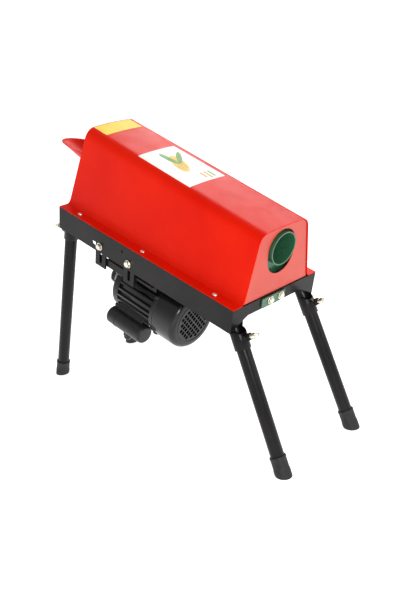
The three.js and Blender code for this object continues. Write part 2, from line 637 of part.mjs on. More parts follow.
// The room taken by the rails, crossbars and shelves, which the sockets are coped to.
const frameRegions = [
  box(-FAR, FAR, innerFace, FAR, -RAIL_HEIGHT - GAP, FAR),
  box(-FAR, FAR, -FAR, -innerFace, -RAIL_HEIGHT - GAP, FAR),
  box(endFace, FAR, -FAR, FAR, cornerEdge, FAR),
  box(-FAR, -endFace, -FAR, FAR, cornerEdge, FAR),
  box(-FAR, FAR, -FAR, FAR, -SHEET - GAP, FAR),
];
for (const leg of LEGS) {
  const frame = new THREE.Group();
  frame.position.set(leg.x, leg.side * LEG_Y, -RAIL_HEIGHT);
  frame.rotation.set(leg.side * LEG_SPREAD * DEG, -leg.splay * DEG, 0, 'YXZ');
  machine.add(frame);
  frame.updateMatrixWorld(true);
  const toWorld = frame.matrixWorld;
  const toLeg = toWorld.clone().invert();
  const fromMachine = toLeg.clone().multiply(machineMatrix);

  // distance down the leg axis to the floor
  const start = new THREE.Vector3(0, 0, 0).applyMatrix4(toWorld);
  const down = new THREE.Vector3(0, 0, -1).transformDirection(toWorld);
  const reach = start.z / -down.z;

  const bore = LEG_RADIUS + GAP;
  const socketRadius = bore + SOCKET_WALL;
  const socketTube = [
    [bore, leg.socketEnd], [socketRadius, leg.socketEnd], [socketRadius, leg.socketTop],
    [bore, leg.socketTop], [bore, leg.socketEnd],
  ];
  const boss = rod('x', 8.5, 10, leg.face * (socketRadius + 3), 0, leg.bolt, 12);
  const boltBore = rod('x', BOLT_SHANK + GAP, 40, leg.face * 25, 0, leg.bolt, 12);
  const legBore = rod('z', bore, 300, 0, 0, 0, LEG_SIDES);
  const socketBody = join(turned('z', socketTube, 0, 0, 0, LEG_SIDES), boss);
  const frameSteel = frameRegions.map((region) => region.clone().applyMatrix4(fromMachine));
  place(`leg_socket_${leg.name}`, cut(socketBody, ...frameSteel, legBore, boltBore), blackPaint, frame);

  const capTop = FOOT_HEIGHT - reach;
  const tubeEnd = FOOT_HEIGHT / 2 - reach;
  const tubeInner = LEG_RADIUS - LEG_WALL;
  const tube = [
    [tubeInner, tubeEnd], [LEG_RADIUS, tubeEnd], [LEG_RADIUS, leg.tubeTop],
    [tubeInner, leg.tubeTop], [tubeInner, tubeEnd],
  ];
  place(`leg_tube_${leg.name}`, turned('z', tube, 0, 0, 0, LEG_SIDES), blackPaint, frame);

  const belowFloor = -reach - FOOT_RADIUS;
  const cap = [
    [bore, capTop], [FOOT_RADIUS - 1.2, capTop], [FOOT_RADIUS, capTop - 4],
    [FOOT_RADIUS, belowFloor], [0, belowFloor], [0, tubeEnd - GAP], [bore, tubeEnd - GAP], [bore, capTop],
  ];
  const floor = new THREE.BoxGeometry(200, 200, 200).translate(start.x, start.y, -100);
  floor.translate(down.x * reach, down.y * reach, 0).applyMatrix4(toLeg);
  place(`foot_${leg.name}`, cut(turned('z', cap, 0, 0, 0, LEG_SIDES), floor), rubber, frame);

  // clamp bolt with a wing head, square to the leg
  const tip = leg.face * (bore + GAP);
  const head = leg.face * (LEG_RADIUS + 28);
  const wing = [head, head + leg.face * 9].sort((a, b) => a - b);
  place(`clamp_bolt_${leg.name}`, join(
    rod('x', BOLT_SHANK, Math.abs(head - tip), (tip + head) / 2, 0, leg.bolt, 12),
    rod('x', 7, 5, head, 0, leg.bolt, 12),
    box(...wing, -12, 12, leg.bolt - 1.5, leg.bolt + 1.5),
  ), zinc, frame);
}

export default object;
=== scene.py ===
# Looks of the electric corn sheller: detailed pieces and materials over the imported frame.
# Pieces are drawn in millimetres in the machine's own frame (X towards the cob outlet, Z = 0 on
# top of the side rails) and put into the row frame, in metres, by MACHINE.
import json
import math

import bmesh
import bpy
from mathutils import Matrix, Vector, noise


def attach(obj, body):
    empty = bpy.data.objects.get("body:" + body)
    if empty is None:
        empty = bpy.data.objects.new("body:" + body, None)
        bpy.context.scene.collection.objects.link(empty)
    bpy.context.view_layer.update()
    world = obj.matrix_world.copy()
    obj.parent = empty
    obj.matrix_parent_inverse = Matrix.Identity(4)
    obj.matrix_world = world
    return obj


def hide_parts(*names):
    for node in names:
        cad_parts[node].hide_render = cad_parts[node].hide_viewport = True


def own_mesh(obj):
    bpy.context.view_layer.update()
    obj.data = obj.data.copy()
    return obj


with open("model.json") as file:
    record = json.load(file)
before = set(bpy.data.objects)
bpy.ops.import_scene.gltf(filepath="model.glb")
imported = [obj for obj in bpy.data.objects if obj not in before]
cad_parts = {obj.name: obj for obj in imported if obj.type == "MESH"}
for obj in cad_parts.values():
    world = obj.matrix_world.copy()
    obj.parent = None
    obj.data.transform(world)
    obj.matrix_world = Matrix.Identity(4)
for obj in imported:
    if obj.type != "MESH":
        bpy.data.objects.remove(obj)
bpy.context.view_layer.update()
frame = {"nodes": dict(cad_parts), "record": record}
NODES = frame["nodes"]

TILT = math.radians(14)
MACHINE = (Matrix.Translation((0.0109, 0, 0.407)) @ Matrix.Rotation(TILT, 4, "Y")
           @ Matrix.Scale(0.001, 4))

# ------------------------------------------------------------------ camera
CAMERA_AT = Vector((1.2539, -1.1155, 0.9258))
CAMERA_RIGHT = Vector((0.7025, 0.707, -0.0821))
CAMERA_UP = Vector((-0.2124, 0.3183, 0.9239))
CAMERA_BACK = Vector((0.6793, -0.6316, 0.3737))
cam_data = bpy.data.cameras.new("camera")
cam_data.lens = 46.72
cam_data.sensor_width = 36
camera = bpy.data.objects.new("camera", cam_data)
camera.matrix_world = Matrix((
    (CAMERA_RIGHT.x, CAMERA_UP.x, CAMERA_BACK.x, CAMERA_AT.x),
    (CAMERA_RIGHT.y, CAMERA_UP.y, CAMERA_BACK.y, CAMERA_AT.y),
    (CAMERA_RIGHT.z, CAMERA_UP.z, CAMERA_BACK.z, CAMERA_AT.z),
    (0, 0, 0, 1),
))
bpy.context.scene.collection.objects.link(camera)
bpy.context.scene.camera = camera

# ------------------------------------------------------------------ stage and light
scene = bpy.context.scene
scene.view_settings.view_transform = "Standard"
world = bpy.data.worlds.new("studio")
scene.world = world
world.use_nodes = True
# the backdrop is white at the horizon and greyer overhead
sky = world.node_tree.nodes
direction = sky.new("ShaderNodeTexCoord")
height = sky.new("ShaderNodeSeparateXYZ")
fade = sky.new("ShaderNodeValToRGB")
fade.color_ramp.elements[0].color = (1, 1, 1, 1)
fade.color_ramp.elements[1].color = (0.5, 0.49, 0.48, 1)
fade.color_ramp.elements[1].position = 0.45
world.node_tree.links.new(direction.outputs["Generated"], height.inputs[0])
world.node_tree.links.new(height.outputs["Z"], fade.inputs["Fac"])
world.node_tree.links.new(fade.outputs["Color"], sky["Background"].inputs[0])


def area_light(name, at, target, size, power):
    data = bpy.data.lights.new(name, "AREA")
    data.shape = "RECTANGLE"
    data.size, data.size_y = size
    data.energy = power
    light = bpy.data.objects.new(name, data)
    light.location = at
    light.rotation_mode = "QUATERNION"
    light.rotation_quaternion = (Vector(target) - Vector(at)).to_track_quat("-Z", "Y")
    scene.collection.objects.link(light)


TARGET = (0, 0, 0.35)
area_light("key", (1.7, -1.1, 0.95), TARGET, (0.5, 0.5), 15)
area_light("front", (2.2, 0.9, 1.1), TARGET, (0.9, 1.2), 8)
area_light("top", (-0.7, 1.45, 2.0), TARGET, (1.3, 1.3), 24)


# ------------------------------------------------------------------ materials
class Shade:
    """A principled material whose colour, roughness and bump come from procedural nodes."""

    def __init__(self, name, metallic=0.0, **constants):
        self.material = bpy.data.materials.new(name)
        self.material.use_nodes = True
        self.tree = self.material.node_tree
        self.shader = self.tree.nodes["Principled BSDF"]
        self.shader.inputs["Metallic"].default_value = metallic
        for socket, value in constants.items():
            self.shader.inputs[socket.replace("_", " ")].default_value = value
        self.coordinates = self.tree.nodes.new("ShaderNodeTexCoord").outputs["Object"]
        self.height = None

    def node(self, kind, **inputs):
        made = self.tree.nodes.new(kind)
        for socket, value in inputs.items():
            made.inputs[socket.replace("_", " ")].default_value = value
        return made

    def link(self, a, b):
        self.tree.links.new(a, b)

    def stretched(self, scale):
        mapping = self.node("ShaderNodeMapping")
        mapping.inputs["Scale"].default_value = scale
        self.link(self.coordinates, mapping.inputs["Vector"])
        return mapping.outputs["Vector"]

    def noise(self, scale, detail=3.0, roughness=0.5, stretch=None):
        made = self.node("ShaderNodeTexNoise", Scale=scale, Detail=detail, Roughness=roughness)
        self.link(self.stretched(stretch) if stretch else self.coordinates, made.inputs["Vector"])
        return made.outputs["Fac"]

    def cells(self, scale):
        made = self.node("ShaderNodeTexVoronoi", Scale=scale)
        made.feature = "SMOOTH_F1"
        self.link(self.coordinates, made.inputs["Vector"])
        return made.outputs["Distance"]

    def colours(self, factor, low, high, start=0.3, end=0.7):
        ramp = self.tree.nodes.new("ShaderNodeValToRGB")
        ramp.color_ramp.elements[0].position = start
        ramp.color_ramp.elements[1].position = end
        ramp.color_ramp.elements[0].color = (*low, 1)
        ramp.color_ramp.elements[1].color = (*high, 1)
        self.link(factor, ramp.inputs["Fac"])
        self.link(ramp.outputs["Color"], self.shader.inputs["Base Color"])
        return self

    def rough(self, factor, low, high):
        made = self.node("ShaderNodeMapRange")
        made.inputs["From Min"].default_value = 0.3
        made.inputs["From Max"].default_value = 0.7
        made.inputs["To Min"].default_value = low
        made.inputs["To Max"].default_value = high
        self.link(factor, made.inputs["Value"])
        self.link(made.outputs["Result"], self.shader.inputs["Roughness"])
        return self

    def bump(self, factor, strength, distance):
        """distance: depth of the relief in metres."""
        made = self.node("ShaderNodeBump", Strength=strength, Distance=distance)
        self.link(factor, made.inputs["Height"])
        if self.height:
            self.link(self.height, made.inputs["Normal"])
        self.height = made.outputs["Normal"]
        self.link(self.height, self.shader.inputs["Normal"])
        return self


def enamel(name, low, high, rough, peel=0.00003, grain=900, **constants):
    """Sprayed paint: faint mottling, uneven gloss and orange peel."""
    s = Shade(name, **constants)
    s.colours(s.noise(9, 4), low, high)
    s.rough(s.noise(30, 5), *rough)
    s.bump(s.noise(grain, 2), 0.35, peel)
    s.bump(s.noise(60, 2), 0.2, 0.0001)
    return s.material


def bare_metal(name, low, high, rough, stretch=(1, 1, 1), grain=1400):
    s = Shade(name, metallic=1.0)
    s.colours(s.noise(70, 4), low, high)
    s.rough(s.noise(160, 4), *rough)
    s.bump(s.noise(grain, 3, 0.6, stretch), 0.4, 0.00003)
    return s.material


def rubbery(name, colour, rough, grain=1500, relief=0.00005):
    s = Shade(name, Specular_IOR_Level=0.35)
    s.colours(s.noise(120, 5), tuple(0.75 * c for c in colour), tuple(1.3 * c for c in colour))
    s.rough(s.noise(220, 4), *rough)
    s.bump(s.noise(grain, 4, 0.7), 0.5, relief)
    return s.material


RED = enamel("red_enamel", (0.68, 0.006, 0.0012), (0.77, 0.012, 0.0016), (0.28, 0.4),
             Specular_IOR_Level=0.14, Specular_Tint=(1, 0.42, 0.26, 1))
# end plates' red: a glossier coat (real), and a paler, pinker base colour that is painted sheen,
# the light the plates catch
RED_GLOSS_PAINTED_SHEEN = enamel("red_enamel_glossy_painted_sheen", (0.48, 0.035, 0.02), (0.54, 0.046, 0.026), (0.3, 0.42),
                   Specular_IOR_Level=0.5, Specular_Tint=(1, 0.8, 0.7, 1), Coat_Weight=0.25,
                   Coat_Roughness=0.2)
BLACK = enamel("black_enamel", (0.006, 0.0055, 0.0055), (0.014, 0.0125, 0.0125), (0.22, 0.34),
               Specular_IOR_Level=0.14, Coat_Weight=0.03, Coat_Roughness=0.1)
MOTOR = enamel("motor_enamel", (0.004, 0.004, 0.0045), (0.008, 0.008, 0.009), (0.24, 0.36),
               peel=0.00006, grain=500, Specular_IOR_Level=0.22, Coat_Weight=0.35,
               Coat_Roughness=0.06)
ZINC = bare_metal("zinc_plate", (0.72, 0.68, 0.56), (0.9, 0.87, 0.78), (0.2, 0.38))
STEEL = bare_metal("turned_steel", (0.34, 0.34, 0.35), (0.5, 0.5, 0.51), (0.22, 0.4), (1, 12, 12))
RUBBER = rubbery("foot_rubber", (0.016, 0.016, 0.017), (0.5, 0.68))
BELT = rubbery("belt_fabric_rubber", (0.02, 0.02, 0.02), (0.7, 0.85), 900, 0.00012)
PLASTIC = rubbery("black_moulding", (0.012, 0.012, 0.013), (0.28, 0.42), 1100, 0.00006)


def hammered_green():
    s = Shade("hammered_green", Coat_Weight=0.3, Coat_Roughness=0.2)
    s.colours(s.cells(260), (0.016, 0.085, 0.04), (0.035, 0.14, 0.07), 0.1, 0.8)
    s.rough(s.noise(80, 3), 0.25, 0.4)
    s.bump(s.cells(260), 0.5, 0.0002)
    return s.material


GREEN = hammered_green()


def paper(name, low, high):
    s = Shade(name, Specular_IOR_Level=0.2, Coat_Weight=0.06, Coat_Roughness=0.2)
    s.colours(s.noise(40, 4), low, high)
    s.rough(s.noise(120, 3), 0.35, 0.5)
    s.bump(s.noise(900, 3), 0.2, 0.00002)
    return s.material


YELLOW_LABEL = paper("yellow_label", (0.86, 0.62, 0.03), (0.94, 0.7, 0.05))
WHITE_LABEL = paper("white_label", (0.88, 0.87, 0.83), (0.94, 0.94, 0.91))
COB_YELLOW = paper("cob_yellow", (0.8, 0.52, 0.05), (0.9, 0.64, 0.12))
KERNEL_YELLOW = paper("kernel_yellow", (0.62, 0.34, 0.03), (0.72, 0.42, 0.05))
HUSK_GREEN = paper("husk_green", (0.12, 0.3, 0.05), (0.2, 0.42, 0.09))

SLOT_MATERIALS = {
    "red_paint": RED, "black_paint": BLACK, "motor_paint": MOTOR, "green_paint": GREEN,
    "zinc": ZINC, "steel": STEEL, "rubber": RUBBER, "belt_rubber": BELT, "black_plastic": PLASTIC,
}
SLOT_OF = {part["node"]: part["material_slot"] for part in frame["record"]["subparts"]}
BODY_OF = {node: body for body, members in frame["record"]["behaviour"]["bodies"].items()
           for node in members}

# ------------------------------------------------------------------ CAD nodes that stay
FLAT_PARTS = ("side_rail", "crossbar", "bearing_bar", "end_plate", "hanger_bracket",
              "motor_cradle", "casing_foot")
EDGE_ANGLE = 32                     # degrees: sharper edges than this are bevelled and kept crisp

for name, node in NODES.items():
    node.data.materials.clear()
    node.data.materials.append(SLOT_MATERIALS[SLOT_OF[name]])
    flat = any(word in name for word in FLAT_PARTS)
    # end plates take the glossy red whose pinker base colour is painted sheen
    if "end_plate" in name:
        node.data.materials[0] = RED_GLOSS_PAINTED_SHEEN
    if flat:
        node.data.shade_flat()
    else:
        node.data.shade_smooth()
    weld = node.modifiers.new("weld", "WELD")
    weld.merge_threshold = 0.00001
    bevel = node.modifiers.new("bevel", "BEVEL")
    bevel.width = 0.0007
    bevel.segments = 2
    bevel.limit_method = "ANGLE"
    bevel.angle_limit = math.radians(EDGE_ANGLE)
    bevel.harden_normals = not flat

# ------------------------------------------------------------------ mesh helpers
def as_object(bm, name):
    bmesh.ops.recalc_face_normals(bm, faces=bm.faces)
    mesh = bpy.data.meshes.new(name)
    bm.to_mesh(mesh)
    bm.free()
    obj = bpy.data.objects.new(name, mesh)
    scene.collection.objects.link(obj)
    return obj


def add_piece(name, bm, material, node, matrix=MACHINE, angle=EDGE_ANGLE):
    """Makes a piece from a bmesh in millimetres, on the body of a CAD node, in the given material.
    """
    bm.transform(matrix)
    obj = as_object(bm, name)
    obj.data.materials.append(material)
    obj.data.shade_smooth()
    obj.data.set_sharp_from_angle(angle=math.radians(angle))
    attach(obj, BODY_OF[node])
    return obj


def replace_node(name, bm, material, node, matrix=MACHINE, angle=EDGE_ANGLE):
    """Makes a piece that is shown instead of a CAD node."""
    obj = add_piece(name, bm, material, node, matrix, angle)
    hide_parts(node)
    return obj


def lathe(profile, at=(0, 0, 0), axis="X", sides=64, turn=0.0):
    """Revolves (radius, place along the axis) points round an axis through `at`."""
    bm = bmesh.new()
    rings = []
    for radius, along in profile:
        if radius < 1e-6:
            local = [(0.0, 0.0)]
        else:
            steps = [turn + 2 * math.pi * i / sides for i in range(sides)]
            local = [(radius * math.cos(a), radius * math.sin(a)) for a in steps]
        ring = []
        for p, q in local:
            offset = {"X": (along, p, q), "Y": (q, along, p), "Z": (p, q, along)}[axis]
            ring.append(bm.verts.new(Vector(at) + Vector(offset)))
        rings.append(ring)
    for a, b in zip(rings, rings[1:]):
        if len(a) == 1 and len(b) == 1:
            continue
        for i in range(sides):
            j = (i + 1) % sides
            corners = [a[i % len(a)], a[j % len(a)], b[j % len(b)], b[i % len(b)]]
            bm.faces.new(list(dict.fromkeys(corners)))
    return bm


def prism(outline, low, high):
    """A flat outline run along Z from low to high."""
    bm = bmesh.new()
    ends = [[bm.verts.new((a, b, z)) for a, b in outline] for z in (low, high)]
    count = len(outline)
    for i in range(count):
        j = (i + 1) % count
        bm.faces.new((ends[0][i], ends[0][j], ends[1][j], ends[1][i]))
    bm.faces.new(ends[0])
    bm.faces.new(ends[1])
    return bm


def shell(bm, out, inn):
    """Joins two grids of vertices, the sheet's outer and inner face, into a closed sheet."""
    rows, columns = len(out), len(out[0])
    for grid in (out, inn):
        for i in range(rows - 1):
            for j in range(columns - 1):
                bm.faces.new((grid[i][j], grid[i + 1][j], grid[i + 1][j + 1], grid[i][j + 1]))
    for i in range(rows - 1):
        for j in (0, columns - 1):
            bm.faces.new((out[i][j], out[i + 1][j], inn[i + 1][j], inn[i][j]))
    for j in range(columns - 1):
        for i in (0, rows - 1):
            bm.faces.new((out[i][j], out[i][j + 1], inn[i][j + 1], inn[i][j]))
    return bm


def bevelled(obj, width_mm, segments=2, angle=EDGE_ANGLE):
    mod = obj.modifiers.new("bevel", "BEVEL")
    mod.width = width_mm / 1000
    mod.segments = segments
    mod.limit_method = "ANGLE"
    mod.angle_limit = math.radians(angle)
    mod.harden_normals = True


def arc(radius, centre, start, end, steps):
    """Points on a circle arc, angles in degrees."""
    turns = [math.radians(start + (end - start) * i / steps) for i in range(steps + 1)]
    return [(centre[0] + radius * math.cos(t), centre[1] + radius * math.sin(t)) for t in turns]


def evaluated(obj):
    """The mesh an object has after its modifiers; the object is removed."""
    graph = bpy.context.evaluated_depsgraph_get()
    mesh = bpy.data.meshes.new_from_object(obj.evaluated_get(graph))
    bpy.data.objects.remove(obj)
    bm = bmesh.new()
    bm.from_mesh(mesh)
    return bm


def carved(bm, cutter):
    body, tool = as_object(bm, "carving"), as_object(cutter, "cutter")
    mod = body.modifiers.new("cut", "BOOLEAN")
    mod.operation = "DIFFERENCE"
    mod.solver = "EXACT"
    mod.object = tool
    result = evaluated(body)
    bpy.data.objects.remove(tool)
    return result


def perforated(edge, holes, thickness):
    """A flat plate with holes, centred on z = 0."""
    curve = bpy.data.curves.new("plate", "CURVE")
    curve.dimensions = "2D"
    curve.fill_mode = "BOTH"
    curve.extrude = thickness / 2
    for ring in [edge, *holes]:
        spline = curve.splines.new("POLY")
        spline.points.add(len(ring) - 1)
        for point, (a, b) in zip(spline.points, ring):
            point.co = (a, b, 0, 1)
        spline.use_cyclic_u = True
    obj = bpy.data.objects.new("plate", curve)
    scene.collection.objects.link(obj)
    bm = evaluated(obj)
    bmesh.ops.remove_doubles(bm, verts=bm.verts, dist=0.001)
    return bm


def combined(*parts):
    whole = bmesh.new()
    for part in parts:
        mesh = bpy.data.meshes.new("part")
        part.to_mesh(mesh)
        part.free()
        whole.from_mesh(mesh)
        bpy.data.meshes.remove(mesh)
    return whole


def moved(bm, matrix):
    bm.transform(matrix)
    return bm


def block(low, high):
    outline = [(low[0], low[1]), (high[0], low[1]), (high[0], high[1]), (low[0], high[1])]
    return prism(outline, low[2], high[2])


# ------------------------------------------------------------------ dimensions also in the CAD
HALF_LENGTH, HALF_WIDTH = 280, 129
HOOD_SHEET, HOOD_FOOT, HOOD_TOP = 1.6, 100, 71
HOOD_FRONT, HOOD_REAR, CROWN = 145, 187, 3
FLANGE_CURVE, SHOULDER_CURVE = 11, 26
REAR_RAKE, FRONT_RAKE = 26, 3
RIDGE_CURVE = 900                   # the roof's two slopes meet in this wide curve
SCREW_X, SCREW_Y = (-217, 0, 217), 115.5
CHANNEL, CASING_FRONT = 98, 262
MOTOR_Y, MOTOR_Z, COWL_RADIUS = -55, -144, 66.5
MOTOR_REAR, STATOR_FRONT, MOTOR_FRONT = -112, 35, 112.5
HANGER_X, HANGER_Z = (-128, -30), -38
TUB_Y, TUB_Z, TUB_RADIUS = MOTOR_Y - 57, MOTOR_Z - 62, 22
TUB_REAR, TUB_LENGTH, GLAND_X = -95, 116, -38
SHEET_LIFT = 0.3                    # gap left between the drawn sheet and the rails under it


# ------------------------------------------------------------------ hood
def bezier_corner(before, corner, after, radius, steps=9):
    a, b, c = Vector(before), Vector(corner), Vector(after)
    to_a, to_c = (a - b).normalized(), (c - b).normalized()
    reach = radius / math.tan(to_a.angle(to_c) / 2)
    start, end = b + to_a * reach, b + to_c * reach
    points = []
    for i in range(steps + 1):
        t = i / steps
        points.append((1 - t) ** 2 * start + 2 * t * (1 - t) * b + t ** 2 * end)
    return points


def hood_line(inset):
    """The bent sheet's section, from the left flange edge to the right one."""
    z, foot = HOOD_SHEET - inset, HOOD_FOOT - inset
    top, roof = HOOD_TOP - inset, HOOD_FRONT - inset
    flange = [Vector((-HALF_WIDTH, z))]
    flange += bezier_corner((-HALF_WIDTH, z), (-foot, z), (-top, roof), FLANGE_CURVE + inset)
    shoulder = bezier_corner((-foot, z), (-top, roof), (0, roof + CROWN), SHOULDER_CURVE - inset)
    wall = [flange[-1].lerp(shoulder[0], i / 8) for i in range(1, 8)]
    ridge = bezier_corner((-HOOD_TOP, roof), (0, roof + CROWN), (HOOD_TOP, roof), RIDGE_CURVE, 16)
    ridge = ridge[:9]
    roof_line = [shoulder[-1].lerp(ridge[0], i / 3) for i in range(1, 3)] + ridge
    left = flange + wall + shoulder + roof_line
    return left + [Vector((-p.x, p.y)) for p in reversed(left[:-1])]


def hood_point(x, section, lift=0.0):
    """A point of the section at x along the hood, with the taper and the sheet's slight waves."""
    y, z = section
    u = (HALF_LENGTH - x) / (2 * HALF_LENGTH)
    rise = max(z - HOOD_SHEET, 0) / (HOOD_FRONT - HOOD_SHEET)
    at = Vector((x + rise * (u * REAR_RAKE - (1 - u) * FRONT_RAKE), y,
                 z + rise * u * (HOOD_REAR - HOOD_FRONT) + lift))
    middle = max(0.0, 1 - abs(rise - 0.5) * 2) * min(1, (HALF_LENGTH - abs(x)) / 60)
    wave = noise.noise(Vector((x / 120, y / 90, z / 70)))
    at.y -= math.copysign(1, y) * 0.5 * middle * (1 + wave) if abs(y) > 1 else 0
    return at


def hood_sheet():
    stations = [HALF_LENGTH - 2 * HALF_LENGTH * i / 56 for i in range(57)]
    bm = bmesh.new()
    grids = []
    for line in (hood_line(0), hood_line(HOOD_SHEET)):
        grids.append([[bm.verts.new(hood_point(x, p, SHEET_LIFT)) for p in line]
                      for x in stations])
    return shell(bm, *grids)


hood = replace_node("hood_bent_sheet", hood_sheet(), RED, "hood_shell", angle=50)
bevelled(hood, 0.5, 2, 60)


def rear_plate():
    """Leaning end plate inside the hood's rear edge, with a round-topped opening for the chute."""
    fit, base, x_outer, thickness = 0.988, 0.4, -HALF_LENGTH + 2.4, 1.6
    u = (HALF_LENGTH - x_outer) / (2 * HALF_LENGTH)
    growth = u * (HOOD_REAR - HOOD_FRONT) / (HOOD_FRONT - HOOD_SHEET)
    wall = [(p.x * fit, p.y - 0.6) for p in hood_line(HOOD_SHEET) if p.y > 6]
    edge = [(y, z + (z - HOOD_SHEET) * growth + SHEET_LIFT) for y, z in wall]
    foot = abs(wall[0][0]) + 2
    edge = [(-foot, base + SHEET_LIFT), *edge, (foot, base + SHEET_LIFT)]
    half, side_top, arch = 47, 118, 27
    opening = arc(half, (0, CHANNEL), 180, 360, 40)
    opening += [(half * p, side_top + arch * q) for p, q in arc(1, (0, 0), 0, 180, 40)]
    plate = perforated(edge, [opening], thickness)
    for vert in plate.verts:
        y, z, t = vert.co
        rise = max(z - HOOD_SHEET - SHEET_LIFT, 0) / ((HOOD_FRONT - HOOD_SHEET) * (1 + growth))
        lean = rise * (u * REAR_RAKE - (1 - u) * FRONT_RAKE)
        vert.co = (x_outer + thickness / 2 + t + lean, y, z)
    return plate


bevelled(replace_node("rear_plate_sheet", rear_plate(), RED, "rear_end_plate"), 0.4, 2, 50)


# ------------------------------------------------------------------ labels on the hood's roof
ROOF = [p for p in hood_line(0) if p.y > HOOD_FRONT - 40]
LABEL_THICKNESS, PRINT_THICKNESS, LABEL_LIFT = 0.12, 0.08, 0.25


def roof_height(y):
    for a, b in zip(ROOF, ROOF[1:]):
        if a.x <= y <= b.x and b.x > a.x:
            return a.y + (b.y - a.y) * (y - a.x) / (b.x - a.x)
    return HOOD_FRONT


def on_roof(bm, x, y, lift):
    return bm.verts.new(hood_point(x, (y, roof_height(y)), SHEET_LIFT + lift))


def roof_patch(x0, x1, y0, y1, lift, columns=16, rows=10):
    """A thin sheet that follows the roof between x0..x1 and y0..y1."""
    bm = bmesh.new()
    layers = []
    for depth in (lift, lift - LABEL_THICKNESS):
        layers.append([[on_roof(bm, x0 + (x1 - x0) * i / columns, y0 + (y1 - y0) * j / rows, depth)
                        for j in range(rows + 1)] for i in range(columns + 1)])
    return shell(bm, *layers)


def roof_shape(outline, lift):
    """A printed shape that follows the roof, from its middle out to the outline's (x, y) points."""
    bm = bmesh.new()
    middle = sum((Vector(p) for p in outline), Vector((0, 0))) / len(outline)
    layers = []
    for depth in (lift, lift - PRINT_THICKNESS):
        rings = []
        for k in range(9):
            ring = []
            for point in outline if k else outline[:1]:
                ring.append(on_roof(bm, *middle.lerp(Vector(point), k / 8), depth))
            rings.append(ring)
        layers.append(rings)
    count = len(outline)
    for rings in layers:
        for i in range(count):
            j = (i + 1) % count
            bm.faces.new((rings[0][0], rings[1][i], rings[1][j]))
            for a, b in zip(rings[1:], rings[2:]):
                bm.faces.new((a[i], b[i], b[j], a[j]))
    top, low = layers[0][-1], layers[1][-1]
    for i in range(count):
        j = (i + 1) % count
        bm.faces.new((top[i], top[j], low[j], low[i]))
    return bm


def label(name, bm, material):
    add_piece(name, bm, material, "hood_shell", angle=40)


label("rear_label_plain", roof_patch(-277, -229, -54, 50, LABEL_LIFT), YELLOW_LABEL)
label("front_label_plain", roof_patch(-111, 58, -58, 46, LABEL_LIFT, 40, 24), WHITE_LABEL)


def ellipse(x, y, half_x, half_y, steps=36, turn=0):
    c, s = math.cos(math.radians(turn)), math.sin(math.radians(turn))
    flat = [(half_x * a, half_y * b) for a, b in arc(1, (0, 0), 0, 360, steps)[:-1]]
    return [(x + c * a - s * b, y + s * a + c * b) for a, b in flat]


COB_X, COB_Y, COB_TURN = -34, -6, -14
COB_LENGTH, COB_HALF = 40, 15


def on_cob(along_cob, across):
    c, s = math.cos(math.radians(COB_TURN)), math.sin(math.radians(COB_TURN))
    return COB_X + c * along_cob - s * across, COB_Y + s * along_cob + c * across


def print_shape(name, outline, lift, material):
    label(name, roof_shape(outline, lift), material)


print_shape("cob_print", ellipse(COB_X, COB_Y, COB_LENGTH, COB_HALF, turn=COB_TURN), 0.34,
            COB_YELLOW)
kernels = 0
for row in range(-2, 3):
    for place in range(7):
        along_cob = -24 + 8.6 * place + 4.3 * (row % 2)
        across = 5.2 * row
        if (along_cob / COB_LENGTH) ** 2 + (across / COB_HALF) ** 2 < 0.72:
            kernels += 1
            spot = ellipse(*on_cob(along_cob, across), 3.2, 1.9, steps=14, turn=COB_TURN)
            print_shape(f"kernel_print_{kernels}", spot, 0.4, KERNEL_YELLOW)
for number, (back, across, turn) in enumerate(((-26, 13, -22), (-26, -12, 20))):
    leaf = ellipse(*on_cob(back, across), 30, 6.5, turn=COB_TURN + turn)
    print_shape(f"husk_print_{number + 1}", leaf, 0.46 + 0.05 * number, HUSK_GREEN)
BAR_X, BAR_HALF = 22, 2.4
for number, (y, length) in enumerate(((26, 26), (15, 30), (4, 22))):
    bar_end, low, high = BAR_X + length, y - BAR_HALF, y + BAR_HALF
    print_shape(f"plain_bar_{number + 1}",
                [(BAR_X, low), (bar_end, low), (bar_end, high), (BAR_X, high)], 0.36,
                HUSK_GREEN if number == 0 else KERNEL_YELLOW)


# ------------------------------------------------------------------ hood screws and other bolts
def rounded_profile(points, radius, steps=4):
    """A profile whose inner corners are rounded."""
    result = [points[0]]
    for before, corner, after in zip(points, points[1:], points[2:]):
        back, ahead = Vector(before) - Vector(corner), Vector(after) - Vector(corner)
        reach = min(back.length, ahead.length)
        angle = back.angle(ahead, math.pi)
        if reach < 2.2 * radius or angle > math.radians(172):   # too short, or nearly straight
            result.append(corner)
            continue
        fit = min(radius, 0.45 * reach * math.tan(angle / 2))
        result += [tuple(p) for p in bezier_corner(before, corner, after, fit, steps)]
    result.append(points[-1])
    return result


def pan_head():
    head = [(0, -3), (3, -3), (3, 0), (5.9, 0), (6.0, 0.7), (5.7, 1.7), (4.9, 2.7), (3.4, 3.4),
            (1.6, 3.75), (0, 3.8)]
    body = lathe(head, axis="Z", sides=40)
    recess = combined(block((-3, -0.65, 2.3), (3, 0.65, 6)),
                      block((-0.65, -3, 2.3), (0.65, 3, 6)))
    return carved(body, recess)


HALF_PITCH = 0.62


